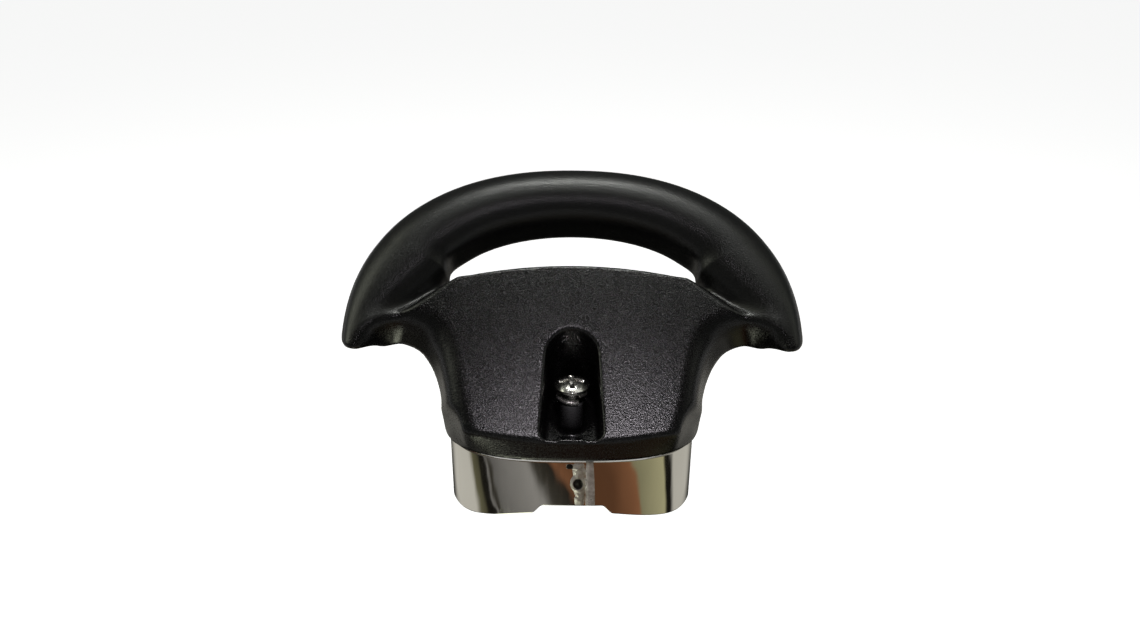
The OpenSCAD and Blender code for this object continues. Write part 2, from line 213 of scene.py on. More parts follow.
# Half widths and lengths along the panel, in its front face and at its widest level
FLANK_FRONT = region_above([(27.0, -26), (27.4, -6), (27.8, 0), (28.5, 3), (29.9, 7), (31.1, 11.2), (32.5, 17.5),
                            (33.5, 22.6), (34.8, 27.2), (36.8, 30.9), (40.4, 33.4), (45.5, 34.6), (51.5, 34.0),
                            (58, 32.4)])
FLANK_WIDE = region_above([(33, -26), (34.2, -6), (34.5, 1.5), (34.6, 7), (34.7, 11), (35.1, 15), (36.4, 19.3),
                           (38.2, 23.2), (41.3, 27.3), (46, 29.6), (52, 30), (58, 29.7)])
RIDGE_START = 31.5
RIDGE_FRONT = region_below(0, [(RIDGE_START, near_edge(RIDGE_START)), (33.8, 45.0), (36.2, 43.4), (40.5, 40.1),
                               (46.1, 35.7), (51.5, 31.2), (58, 25.5)])
RIDGE_WIDE = region_below(0.8, [(RIDGE_START, near_edge(RIDGE_START) + 0.8), (37.2, 44.7), (42.5, 41.2), (48.3, 36.9),
                                (54, 32.3), (60, 27)])

TURN = np.linspace(-math.pi / 2, math.pi / 2, 241)
RIM = plan_region(oval(RIM_X, RIM_Y, TURN))
STEP = plan_region(oval(GUARD_X, GUARD_Y, TURN))
SPIGOT = plan_region(oval(GUARD_X - GUARD_WALL - SPIGOT_GAP, GUARD_Y - GUARD_WALL - SPIGOT_GAP, TURN))
FRONT_CORNER = smooth_line([(0, -18.1), (6, -18.0), (12, -17.7), (18, -17.2), (23, -16.6), (26.3, -16.0), (27.9, -14.9),
                            (28.6, -13.2), (29.8, -11), (31.6, -7.6), (33.6, -3.4), (34.9, 0.3)])
FOLD = plan_region(np.vstack([FRONT_CORNER, oval(RIM_X + 0.65, RIM_Y, TURN[TURN > 0.02])]))


def opening_arc(half, top, turn):
    """Upper edge of the opening: a quarter of an ellipse, drawn out by 0.85 mm towards its corner."""
    corner = 0.85 * np.exp(-((np.degrees(turn) - 71) / 8)**2)
    return np.stack([half * np.sin(turn) + corner, OPENING_LEVEL + (top - OPENING_LEVEL) * np.cos(turn)], -1)


# The grip's inner edge goes on along the horn; its outer edge is a quarter of an oval of the power 2.25
INNER_EDGE = np.vstack([opening_arc(OPENING_HALF, OPENING_TOP, np.radians(np.linspace(0, 84, 60))),
                        [(38.5, 45.4), (43.3, 40.6), (47.5, 36.0), (50.6, 32.4), (52.4, 29.6), (53.4, 26), (53.9, 22),
                         (55, -FAR)]])
QUARTER, OUTER_FOOT, OUTER_SHARE = np.radians(np.linspace(90, 0, 90)), 32, 2 / 2.25
OUTER_EDGE = np.vstack([np.stack([GRIP_HALF * np.cos(QUARTER)**OUTER_SHARE,
                                  OUTER_FOOT + (GRIP_REACH - OUTER_FOOT) * np.sin(QUARTER)**OUTER_SHARE], -1),
                        [(GRIP_HALF, -FAR)]])
OPENING = Outline(INNER_EDGE, [[0, -FAR]], PANEL_LOW, PANEL_HIGH)
CRESCENT = Outline(OUTER_EDGE, [[0, -FAR]], PANEL_LOW, PANEL_HIGH)

# The hole itself: the arc, a tight corner, and back along the panel's edge
CORNER_END = 28.6
LOWER_EDGE = np.linspace(CORNER_END, 0, 20)
WINDOW = Outline(np.vstack([opening_arc(OPENING_HALF + 0.2, OPENING_TOP + 0.2, np.radians(np.linspace(0, 76, 40))),
                            smooth_line([(34.5, 51.6), (34.4, 50.5), (33.8, 49.3), (32.6, 48.3), (30.8, 47.5),
                                         (CORNER_END, near_edge(CORNER_END))])[:-1],
                            np.stack([LOWER_EDGE, near_edge(LOWER_EDGE)], -1)]),
                 [], PANEL_LOW, PANEL_HIGH)

POCKET_LEAN = math.radians(14)
POCKET_LENGTH = 30.3 * math.cos(SLOPE - POCKET_LEAN)
POCKET_HALF = 6.9
ROUND_END = np.linspace(0, math.pi / 2, 24)
POCKET = Outline(np.vstack([[(0, 0), (6.7, 0), (7.5, 0.35), (8.05, 1.4)],
                            np.stack([POCKET_HALF * np.cos(ROUND_END),
                                      POCKET_LENGTH - POCKET_HALF + POCKET_HALF * np.sin(ROUND_END)], -1)]),
                 [], (0, -12), (40, 60))


# ---------------------------------------------------------------- the moulding as one smooth field

def moulding_field(x, y, z):
    """Below zero inside the moulding. In words: the grip is an oval section between the opening's edge and the outer
    edge; the shield and the base are a slab and an upright oval block, joined with a fillet and cut by the panel's
    plane and by flanks that widen with depth; the pocket and the bore are taken out and the boss is added."""
    p = np.abs(x)
    dy, dz = y - FOLD_Y, z - FOLD_Z
    q = dy * math.cos(SLOPE) + dz * math.sin(SLOPE)
    n = -dy * math.sin(SLOPE) + dz * math.cos(SLOPE)

    # Flanks and ridges: from the front line to the widest line, then drawn in with depth
    depth = np.clip(n / GRIP_MID, 0, 1)
    behind = np.clip(GRIP_MID - n, 0, 40)
    flank = mix(FLANK_FRONT(p, q), FLANK_WIDE(p, q - 0.5 * behind), depth)
    ridge = mix(RIDGE_FRONT(p, q), RIDGE_WIDE(p, q + 0.33 * behind), depth)
    plateau = smooth_max(smooth_max(flank, n, 4.4), ridge, 0.8 + 1.2 * smooth_step(p, 31, 39))
    plateau = smooth_max(plateau, p - WING_END, 5)

    # Base block and slab
    block = mix(RIM(p, y), FOLD(p, y), np.clip((z - RIM_Z) / (FOLD_Z + 0.4 - RIM_Z), 0, 1))
    slab = smooth_max(BACK_N - n, 11 - q, 3)
    body = smooth_max(smooth_min(block, slab, 5), plateau, 1.0)
    body = smooth_max(body, RIM_Z - z, 0.7)

    # Grip, cut off below by a slanted plane that makes the horns
    out_of_opening, within = OPENING(p, q), -CRESCENT(p, q)
    width = np.maximum((out_of_opening + within) / 2, 0.6)
    side = np.abs(out_of_opening - within) / (2 * width)
    rise = np.abs(n - GRIP_MID) / (GRIP_THICK / 2)
    tube = ((side**GRIP_POWER + rise**GRIP_POWER)**(1 / GRIP_POWER) - 1) * np.minimum(width, GRIP_THICK / 2)
    horn_end = (HORN_LEVEL - q - HORN_SLANT * (n - GRIP_MID) + 0.13 * (p - 57)) * 0.74
    tube = smooth_max(tube, horn_end, 2.2)
    body = smooth_min(body, tube, 4.2 + 3.0 * smooth_step(p, 43, 54))
    body = smooth_max(body, -WINDOW(p, q), 0.8 + 0.5 * smooth_step(p, 28, 33))

    # Spigot and the step that the sleeve stands in
    body = np.minimum(body, np.maximum(STEP(p, y), np.abs(z - 16.2) - 0.6))
    body = np.minimum(body, np.maximum(SPIGOT(p, y), np.maximum(SPIGOT_Z - z, z - 17)))

    # Screw pocket, boss and bore
    oy, oz = y - (FOLD_Y + POCKET_LIP * math.cos(SLOPE)), z - (FOLD_Z + POCKET_LIP * math.sin(SLOPE))
    along = oy * math.cos(POCKET_LEAN) + oz * math.sin(POCKET_LEAN)
    up = -oy * math.sin(POCKET_LEAN) + oz * math.cos(POCKET_LEAN)
    hollow = smooth_max(POCKET(p, along), -POCKET_DROP - up, 1.4)
    body = smooth_max(body, -hollow, 0.8)
    radius = np.hypot(x, y)
    boss = smooth_max(radius - BOSS_RADIUS, np.maximum(z - BOSS_TOP, SPIGOT_Z - z), 0.4)
    body = smooth_min(body, boss, 0.8)
    return np.maximum(body, BORE_RADIUS - radius)


def skin(field, low, step):
    """Surface of a field on a grid: one point in each cell that the surface passes, at the mean of its edge crossings,
    and a quad round each grid edge that it crosses."""
    inside = field < 0
    count = sum(inside[a:a - 1 or None, b:b - 1 or None, c:c - 1 or None].astype(np.int8)
                for a in (0, 1) for b in (0, 1) for c in (0, 1))
    cells = (count > 0) & (count < 8)
    index = np.full(cells.shape, -1)
    place = np.argwhere(cells)
    index[cells] = np.arange(len(place))
    total, hits = np.zeros((len(place), 3)), np.zeros((len(place), 1))
    for axis in range(3):
        others = [k for k in range(3) if k != axis]
        for s in (0, 1):
            for t in (0, 1):
                first = np.zeros(3, int)
                first[others[0]], first[others[1]] = s, t
                second = first.copy()
                second[axis] = 1
                fa = field[tuple((place + first).T)][:, None]
                fb = field[tuple((place + second).T)][:, None]
                crossed = (fa < 0) != (fb < 0)
                share = fa / np.where(crossed, fa - fb, 1)
                total += crossed * (first + share * (second - first))
                hits += crossed
    points = (place + total / hits) * step + low
    quads = []
    for axis in range(3):
        others = [k for k in range(3) if k != axis]
        head = [slice(None)] * 3
        tail = [slice(None)] * 3
        head[axis], tail[axis] = slice(0, -1), slice(1, None)
        change = inside[tuple(head)] != inside[tuple(tail)]
        where = np.argwhere(change)
        corner = []
        for s, t in ((1, 1), (0, 1), (0, 0), (1, 0)):
            cell = where.copy()
            cell[:, others[0]] -= s
            cell[:, others[1]] -= t
            corner.append(index[tuple(cell.T)])
        quad = np.stack(corner, -1)
        flip = inside[tuple(head)][change] == (axis == 1)
        quad[flip] = quad[flip][:, ::-1]
        quads.append(quad)
    return points, np.vstack(quads)


def settle(points, quads, field, rounds):
    """Evens the points out over the surface and puts them back on it: each goes to the mean of its neighbours, then
    down the field's slope by the field's value over that slope."""
    ends = np.concatenate([quads, np.roll(quads, 1, axis=1)]).ravel()
    near = np.concatenate([np.roll(quads, -1, axis=1), quads]).ravel()
    amount = np.bincount(ends, minlength=len(points))[:, None]
    probe = 0.04
    for turn in range(rounds):
        if turn:
            mean = np.stack([np.bincount(ends, points[near, k], len(points)) for k in range(3)], -1) / amount
            points = mix(points, mean, 0.5)
        for _ in range(2):
            value = field(*points.T)
            slope = np.stack([(field(*(points + d).T) - field(*(points - d).T)) / (2 * probe)
                              for d in np.eye(3) * probe], -1)
            steepness = (slope**2).sum(1)
            points = points - np.clip(value / np.maximum(steepness, 0.05), -0.5, 0.5)[:, None] * slope
    return points


def moulding():
    """The moulding: the field is worked out on the right half of a grid, mirrored, and its surface taken."""
    step = 0.62
    half = np.arange(step / 2, 65.5, step)
    y = np.arange(-19.6, 56.4, step)
    z = np.arange(7.9, 75.2, step)
    right = moulding_field(*np.meshgrid(half, y, z, indexing="ij"))
    field = np.concatenate([right[::-1], right])
    low = np.array([-half[-1], y[0], z[0]])
    points, quads = skin(field, low, step)
    points = settle(points, quads, moulding_field, 4)
    return quad_piece("moulded_handle", points, quads, "handle_body")


# ---------------------------------------------------------------- the sleeve

def even_ring(count):
    """Points of the sleeve's outline at even steps of its length, starting at its back."""
    turn = np.linspace(math.pi / 2, math.pi / 2 - 2 * math.pi, 14401)
    p = oval(GUARD_X, GUARD_Y, turn)
    length = np.concatenate([[0], np.cumsum(np.hypot(*np.diff(p, axis=0).T))])
    at = np.linspace(0, length[-1], count, endpoint=False)
    return np.stack([np.interp(at, length, p[:, k]) for k in (0, 1)], -1), at


def sleeve_foot(x, y):
    """Height of the sleeve's lower edge: the pot's cylinder, about a millimetre lower in front, and there a notch with
    slanted sides."""
    drop = (0.9 + 0.45 * smooth_step(np.abs(x), 8, 22)) * smooth_step(-y, 5, 13)
    pot = np.sqrt(POT_RADIUS**2 - x**2) - POT_RADIUS - drop
    side = (NOTCH_HALF - np.abs(x - NOTCH_X)) * 1.15 - 0.9
    notch = smooth_min(side, np.full_like(x, NOTCH_TOP), 0.5)
    return np.where(y < 0, smooth_max(pot, notch, 0.5), pot)


def sleeve():
    """The guard: the section of the sheet, rounded at its edges, carried round the outline. A row of the section is
    its inset from the outline, its share of the way down and how far it keeps from the edge there."""
    ring, at = even_ring(960)
    tangent = np.roll(ring, -1, axis=0) - np.roll(ring, 1, axis=0)
    tangent /= np.linalg.norm(tangent, axis=1)[:, None]
    inward = np.stack([tangent[:, 1], -tangent[:, 0]], -1)
    foot = sleeve_foot(ring[:, 0], ring[:, 1])
    outer = [(0.24, 0, 0), (0.07, 0, 0.07), (0, 0, 0.24)]
    wall = [(0, share, 0) for share in (0.022, 0.029, 0.036, 0.043, 0.05, *np.linspace(0.06, 0.94, 16))]
    lower = [(0, 1, 0.32), (0, 1, 0.22), (0.07, 1, 0.07), (0.24, 1, 0), (0.56, 1, 0), (0.73, 1, 0.07), (0.8, 1, 0.24)]
    inner = [(0.8, 0.5, 0), (0.8, 0, 0.24), (0.73, 0, 0.07), (0.56, 0, 0)]
    rows = []
    bow = 0.035 * np.sin(at / 6.1 + 0.8) + 0.02 * np.sin(at / 2.9)
    for inset, share, round_off in outer + wall + lower + inner:
        top = GUARD_TOP - (round_off if share == 0 else 0)
        height = mix(top, foot, share) + (round_off if share == 1 else 0)
        wave = bow * np.sin(math.pi * share) * (np.abs(ring[:, 0]) < 30)
        lip = 0.10 * smooth_step(height, GUARD_TOP - 0.75, GUARD_TOP - 0.2) * (inset < 0.3)
        xy = ring + inward * (inset + lip + np.maximum(wave, -0.02))[:, None]
        rows.append(np.column_stack([xy, height]))
    points = np.concatenate(rows)
    faces = grid_faces(len(rows), len(ring), True, True)
    return quad_piece("polished_sleeve", points, faces, "flame_guard")


def front_of_sleeve(x):
    """Where the outline runs in front, at a place across."""
    return -GUARD_Y * (1 - (np.abs(x) / GUARD_X)**GUARD_POWER_X)**(1 / GUARD_POWER_Y)


def weld_seam():
    """The welded joint: a patch just under the sheet whose height is a pressed strip plus rough beads and a pit with a
    raised ring, so that only these stand out of the sheet."""
    rng = np.random.default_rng(7)
    left, right, low, high = -2.0, 6.6, 1.2, 15.4
    seam, hole_x, hole_z = 4.75, 1.8, 8.4
    x = np.linspace(left, right, 111)
    z = np.linspace(low, high, 150)
    gx, gz = np.meshgrid(x, z, indexing="ij")

    def bump(cx, cz, rx, rz, power=2.0):
        return np.exp(-(np.abs((gx - cx) / rx)**power + np.abs((gz - cz) / rz)**power))

    strip = smooth_step(1.05 - np.abs(gx - seam - 0.05 * (high - gz) * (gx > seam)), 0, 0.3)
    height = 0.17 * strip - 0.05 * smooth_step(0.35 - np.abs(gx - 4.1), 0, 0.2)
    height += 0.30 * bump(2.0, 12.6, 1.4, 1.9, 4) + 0.28 * bump(2.2, 4.0, 1.2, 2.6, 4)
    height += 0.14 * bump(hole_x, hole_z, 1.0, 1.3, 4)
    ring = np.hypot(gx - hole_x, (gz - hole_z) / 1.35)
    height += 0.26 * np.exp(-((ring - 1.45) / 0.5)**2) + 0.14 * bump(1.9, 8.9, 0.4, 0.9)
    height += 0.10 * bump(-0.5, 13.7, 1.0, 0.95, 4)
    for _ in range(34):
        cx, cz, r = rng.uniform(0.9, 3.3), rng.uniform(2.2, 14.6), rng.uniform(0.22, 0.55)
        height += rng.uniform(-0.11, 0.10) * bump(cx, cz, r, r)
    fade = (smooth_step(gx, left, left + 0.5) * smooth_step(-gx, -right, 0.5 - right)
            * smooth_step(gz, low, low + 0.3) * smooth_step(-gz, -high, 0.3 - high))
    height = mix(-0.15, height - 0.07, fade)
    points = np.stack([gx, front_of_sleeve(gx) - height, gz], -1)
    return quad_piece("weld_seam", points.reshape(-1, 3), grid_faces(len(x), len(z))[:, ::-1])


# ---------------------------------------------------------------- screw and washers

def screw():
    """The screw: a head whose top is a low dome less a cross recess, and a shank whose radius follows the thread. Each
    is a grid of rings closed by a fan of triangles."""
    turn = np.linspace(0, 2 * math.pi, 256, endpoint=False)
    share = np.linspace(0.995, 0.004, 56)
    gs, gt = np.meshgrid(share, turn, indexing="ij")
    radius = HEAD_RADIUS * gs
    dome = 0.42 + 1.45 * (1 - gs**2.3)
    ax, ay = np.abs(radius * np.cos(gt - 0.08)), np.abs(radius * np.sin(gt - 0.08))
    reach, across = np.maximum(ax, ay), np.minimum(ax, ay)
    slot_depth = 1.55 * np.clip(1 - reach / 3.4, 0, 1)**0.7
    blade = smooth_step(0.78 - across, 0, 0.24)
    centre = smooth_step(1.25 - radius, 0, 0.3)
    dome -= slot_depth * np.maximum(blade, centre)
    top = np.stack([radius * np.cos(gt), radius * np.sin(gt), HEAD_SEAT + dome], -1)
    under = [np.stack([(HEAD_RADIUS - inset) * np.cos(turn), (HEAD_RADIUS - inset) * np.sin(turn),
                       np.full_like(turn, HEAD_SEAT + h)], -1)
             for inset, h in ((2.35, 0.0), (0.3, 0.0), (0.08, 0.08), (0.0, 0.2), (0.0, 0.34))]
    head = np.concatenate([np.stack(under), top])
    faces = grid_faces(len(head), len(turn), False, True)
    last = (len(head) - 1) * len(turn)
    points = head.reshape(-1, 3)
    ring = np.arange(len(turn))
    cap = np.stack([last + ring, last + (ring + 1) % len(turn), np.full(len(turn), len(points))], -1)
    points = np.vstack([points, [0, 0, points[last:, 2].mean()]])

    rise = np.linspace(SCREW_TIP, HEAD_SEAT + 0.02, 300)
    spin = np.linspace(0, 2 * math.pi, 48, endpoint=False)
    gz, ga = np.meshgrid(rise, spin, indexing="ij")
    phase = (gz / THREAD_PITCH - ga / (2 * math.pi)) % 1
    groove = 0.42 * (1 - np.abs(2 * phase - 1)) * smooth_step(HEAD_SEAT - gz, 1.0, 2.5)
    chamfer = 0.7 * smooth_step(SCREW_TIP + 0.8 - gz, 0, 0.8)
    r = THREAD_RADIUS - np.maximum(groove, chamfer)
    shank = np.stack([r * np.cos(ga), r * np.sin(ga), gz], -1).reshape(-1, 3)
    low = np.arange(len(spin))
    end = np.stack([(low + 1) % len(spin), low, np.full(len(spin), len(shank))], -1)
    shank = np.vstack([shank, [0, 0, SCREW_TIP]])
    quads = np.vstack([faces, grid_faces(len(rise), len(spin), False, True) + len(points)])
    ends = np.vstack([cap, end + len(points)])
    return capped_piece("recessed_screw", np.vstack([points, shank]), quads, ends, "screw")


def rounded_section(inner, outer, height, soft):
    """Corners of a flat section, rounded, as points of radius and height."""
    turn = np.radians(np.concatenate([np.linspace(start, start + 90, 5) for start in (180, 270, 0, 90)]))
    cx = np.repeat([inner + soft, outer - soft, outer - soft, inner + soft], 5)
    cz = np.repeat([soft, soft, height - soft, height - soft], 5)
    return np.stack([cx + soft * np.cos(turn), cz + soft * np.sin(turn)], -1)


def flat_ring():
    """The flat washer: a rounded section turned round the screw."""
    section = rounded_section(2.75, 4.4, FLAT_THICK, 0.33)
    turn = np.linspace(0, 2 * math.pi, 128, endpoint=False)
    r, h = section[:, 0][None, :], section[:, 1][None, :]
    points = np.stack([r * np.cos(turn)[:, None], r * np.sin(turn)[:, None],
                       HEAD_SEAT - FLAT_THICK + h + 0 * turn[:, None]], -1)
    quads = grid_faces(len(turn), len(section), True, True)
    return quad_piece("flat_ring", points.reshape(-1, 3), quads, "flat_washer")


def split_ring():
    """The spring washer: a rounded section carried once round the screw while it climbs from one cut end to the
    other."""
    section = rounded_section(2.75, 4.3, SPRING_WIRE, 0.55)
    share = np.linspace(0, 1, 140)
    turn = np.radians(-64 - 351 * share)
    r, h = section[:, 0][None, :], section[:, 1][None, :]
    base = HEAD_SEAT - FLAT_THICK - SPRING_WIRE - SPRING_RISE
    points = np.stack([r * np.cos(turn)[:, None], r * np.sin(turn)[:, None],
                       base + h + SPRING_RISE * share[:, None]], -1).reshape(-1, 3)
    count = len(section)
    quads = grid_faces(len(share), count, False, True)[:, ::-1]
    k = np.arange(1, count - 1)
    start = np.stack([0 * k, k + 1, k], -1)
    end = np.stack([0 * k, k, k + 1], -1) + (len(share) - 1) * count
    return capped_piece("split_ring", points, quads, np.vstack([start, end]), "spring_washer")


# ---------------------------------------------------------------- materials

class Wire:
    """A shader socket that takes part in Python arithmetic; each operator adds its Math node."""

    def __init__(self, shop, socket):
        self.shop, self.socket = shop, socket

    def _math(self, operation, *values):
        return self.shop.node("ShaderNodeMath", values, operation=operation)

    def __add__(self, other): return self._math("ADD", self, other)
    def __radd__(self, other): return self._math("ADD", other, self)
    def __sub__(self, other): return self._math("SUBTRACT", self, other)
    def __rsub__(self, other): return self._math("SUBTRACT", other, self)
    def __mul__(self, other): return self._math("MULTIPLY", self, other)
    def __rmul__(self, other): return self._math("MULTIPLY", other, self)
    def __truediv__(self, other): return self._math("DIVIDE", self, other)
    def __pow__(self, other): return self._math("POWER", self, other)


class Workshop:
    """Builds one material's nodes."""

    def __init__(self, name):
        self.material = bpy.data.materials.new(name)
        self.material.use_nodes = True
        self.tree = self.material.node_tree
        self.tree.nodes.clear()

    def node(self, kind, values=(), output=0, stops=None, **settings):
        """A node of a kind, its settings first, then its sockets' values or links, by place or by name."""
        made = self.tree.nodes.new(kind)
        for key, value in settings.items():
            setattr(made, key, value)
        if stops:
            ramp = made.color_ramp
            while len(ramp.elements) < len(stops):
                ramp.elements.new(0.5)
            for element, (place, colour) in zip(ramp.elements, stops):
                element.position, element.color = place, (*colour, 1)
        pairs = values.items() if isinstance(values, dict) else enumerate(values)
        for key, value in pairs:
            if value is None:
                continue
            if isinstance(value, Wire):
                self.tree.links.new(value.socket, made.inputs[key])
            else:
                made.inputs[key].default_value = value
        return Wire(self, made.outputs[output])

    def place(self):
        """Object coordinates, in metres."""
        return self.node("ShaderNodeTexCoord", output="Object")

    def axes(self, names):
        """Object coordinates along the named axes."""
        point = self.place()
        return [self.node("ShaderNodeSeparateXYZ", (point,), output=axis) for axis in names]

    def noise(self, scale, detail, rough, stretch=None):
        """Noise over the object, longer along the axes whose stretch is small."""
        place = self.node("ShaderNodeMapping", {"Vector": self.place(), "Scale": stretch}) if stretch else self.place()
        return self.node("ShaderNodeTexNoise", {"Vector": place, "Scale": scale, "Detail": detail, "Roughness": rough})

    def size(self, value):
        """The value without its sign."""
        return self.node("ShaderNodeMath", (value,), operation="ABSOLUTE")

    def spread(self, value, low, high, to_low=0.0, to_high=1.0):
        """The value's place between low and high, kept within them, carried over to another span."""
        return self.node("ShaderNodeMapRange", {"Value": value, "From Min": low, "From Max": high,
                                                "To Min": to_low, "To Max": to_high})

    def within(self, value, full, none):
        """1 up to a first value, falling to 0 at the second."""
        return self.spread(value, full, none, 1.0, 0.0)

    def blend(self, share, a, b):
        """A colour between two colours."""
        return self.node("ShaderNodeMix", {0: share, 6: a, 7: b}, output=2, data_type="RGBA")

    def bump(self, height, distance, strength=1.0):
        """A normal for a surface as uneven as the height says."""
        return self.node("ShaderNodeBump", {"Height": height, "Distance": distance, "Strength": strength})

    def finish(self, **sockets):
        """The surface shader; words of a socket's name are joined by an underline."""
        named = {key.replace("_", " "): value for key, value in sockets.items()}
        return self.show(self.node("ShaderNodeBsdfPrincipled", named, output="BSDF"))

    def show(self, shader):
        """The material, with the shader on its surface."""
        out = self.tree.nodes.new("ShaderNodeOutputMaterial")
        self.tree.links.new(shader.socket, out.inputs["Surface"])
        return self.material


def diagonal(a, b):
    """Length of the diagonal of the sides a and b."""
    return (a ** 2.0 + b ** 2.0) ** 0.5


def grained_moulding():
    """Black moulding: a pebbled grain, strongest on the panel's open face, softer on the grip and softer still on the
    walls below that face, with faint clouding. The pocket is almost smooth, and down the front of its boss a grey
    stripe, lighter towards the top, is a painted highlight."""
    shop = Workshop("grained_black_moulding")
    grain = shop.noise(2200, 1.5, 0.6)
    fine = shop.noise(5200, 1.0, 0.5)
    cloud = shop.noise(70, 3.0, 0.6)
    speck = shop.noise(3000, 1.0, 0.5)
    x, y, z = shop.axes("XYZ")
    across = shop.size(x)
    level = (z - FOLD_Z * MM) * math.cos(SLOPE) - (y - FOLD_Y * MM) * math.sin(SLOPE)
    along = (z - FOLD_Z * MM) * math.sin(SLOPE) + (y - FOLD_Y * MM) * math.cos(SLOPE)
    panel = shop.within(along, 0.0495, 0.0525) * shop.within(along + across * 0.8, 0.0715, 0.0755)
    smooth = shop.within(level, -0.0016, -0.0008) * shop.within(across, 0.0084, 0.0089)
    # Painted highlight: a narrow upright stripe down the front of the boss, growing lighter towards its top
    boss = shop.within(across, 0.0006, 0.0032) * shop.within(diagonal(x, y), 0.0041, 0.0046)
    boss = boss * shop.spread(z, 0.0165, 0.0235)
    open_face = panel * shop.spread(level, -0.0055, -0.0030)
    side = panel * (1 - open_face)
    relief = (1 - smooth * 0.85) * (0.65 + open_face * 0.35 - side * 0.25)
    normal = shop.bump((grain * 0.72 + fine * 0.28) * relief, 0.000105)
    black = shop.blend(shop.spread(cloud, 0.35, 0.65), (0.0028, 0.0027, 0.0029, 1), (0.0046, 0.0044, 0.0045, 1))
    # The grey laid on that stripe is a painted highlight, not the moulding's own colour
    base = shop.blend(boss * smooth, black, (0.15, 0.15, 0.154, 1))
    rough = shop.spread(speck, 0.36, 0.66, 0.17, 0.33) + (1 - panel) * 0.11 + smooth * 0.04
    return shop.finish(Base_Color=base, Roughness=rough, Normal=normal, IOR=1.5)


def polished_steel():
    """Mirror polished sheet with a slight waviness and faint wipe marks."""
    shop = Workshop("polished_steel")
    wave = shop.noise(90, 1.0, 0.4, (1, 1, 0.35))
    fine = shop.noise(900, 2.0, 0.5, (1, 1, 0.12))
    normal = shop.bump(wave, 0.0004, 0.35)
    rough = shop.spread(fine, 0.35, 0.75, 0.035, 0.10)
    base = shop.blend(shop.spread(wave, 0.4, 0.7), (0.78, 0.77, 0.74, 1), (0.70, 0.69, 0.66, 1))
    return shop.finish(Base_Color=base, Metallic=1.0, Roughness=rough, Normal=normal)


def weld_metal():
    """Grey weld metal, rough on the beads and smooth on the strip, with its two shallow pits coloured black as painted
    shade for their depth.
    """
    shop = Workshop("weld_metal")
    x, z = shop.axes("XZ")
    patch = shop.noise(450, 3.0, 0.6)
    fine = shop.noise(2500, 2.0, 0.6)
    # Painted shade: the two pits are coloured black in place of the shade inside deeper pits
    hole = shop.within(diagonal((x - 0.0018) * 1.3, z - 0.0083) + (patch - 0.5) * 0.0006, 0.0015, 0.0019)
    slot = shop.within(diagonal(x + 0.0004, z - 0.0136), 0.0008, 0.0010)
    strip = shop.spread(x, 0.0034, 0.0037)
    grey = shop.blend(shop.spread(patch, 0.38, 0.62), (0.62, 0.60, 0.57, 1), (0.34, 0.31, 0.28, 1))
    base = shop.blend(slot, shop.blend(hole, grey, (0.012, 0.010, 0.009, 1)), (0.010, 0.009, 0.009, 1))
    normal = shop.bump((fine * 0.5 + patch) * (1 - strip * 0.9), 0.00010, 0.6)
    rough = shop.spread(patch, 0.3, 0.7, 0.30, 0.50) - strip * 0.06
    return shop.finish(Base_Color=base, Metallic=0.8 - strip * 0.3, Roughness=rough, Normal=normal)


def plated_steel(name, scale, bright, metallic, smoothest, roughest):
    """Plated steel with small marks, between a bright tint and a duller one."""
    shop = Workshop(name)
    mark = shop.noise(scale, 3.0, 0.6)
    base = shop.blend(shop.spread(mark, 0.35, 0.65), bright, (0.62, 0.60, 0.57, 1))
    return shop.finish(Base_Color=base, Metallic=metallic, Roughness=shop.spread(mark, 0.3, 0.7, smoothest, roughest),
                       Normal=shop.bump(mark, 0.00005, 0.5))


def screw_steel():
    return plated_steel("bright_screw_steel", 1400, (0.80, 0.78, 0.75, 1), 1.0, 0.12, 0.3)


def washer_steel():
    return plated_steel("plain_washer_steel", 1100, (0.86, 0.84, 0.80, 1), 0.88, 0.20, 0.34)


# ---------------------------------------------------------------- stage

def stage_plane(name, centre, size, material):
    """A flat stage piece from its centre and its two sizes."""
    x, y = size[0] / 2, size[1] / 2
    corners = [(centre[0] + a * x, centre[1] + b * y, centre[2]) for a, b in ((-1, -1), (1, -1), (1, 1), (-1, 1))]
    data = bpy.data.meshes.new(name)
    data.from_pydata(corners, [], [(0, 1, 2, 3)])
    data.materials.append(material)
    made = bpy.data.objects.new(name, data)
    bpy.context.scene.collection.objects.link(made)
    return made


def pale_floor():
    """White to the eye and in mirrors, over a matt ground that keeps the object's shadow."""
    shop = Workshop("pale_floor")
    camera = shop.node("ShaderNodeLightPath", output="Is Camera Ray")
    glossy = shop.node("ShaderNodeLightPath", output="Is Glossy Ray")
    matt = shop.node("ShaderNodeBsdfDiffuse", {"Color": (0.8, 0.8, 0.8, 1)})
    glow = shop.blend(camera, shop.blend(glossy, (0, 0, 0, 1), (0.5, 0.5, 0.5, 1)), (0.86, 0.86, 0.86, 1))
    return shop.show(shop.node("ShaderNodeAddShader", (matt, shop.node("ShaderNodeEmission", {"Color": glow}))))


# What stands round the object in the room that its steel mirrors, in five plain tints
PALE_TABLE, DARK_FRAME, OLIVE_CLOTH = (0.6, 0.58, 0.52), (0.01, 0.009, 0.007), (0.4, 0.375, 0.22)
GREY_BENCH, BROWN_WOOD = (0.25, 0.24, 0.225), (0.2, 0.088, 0.042)
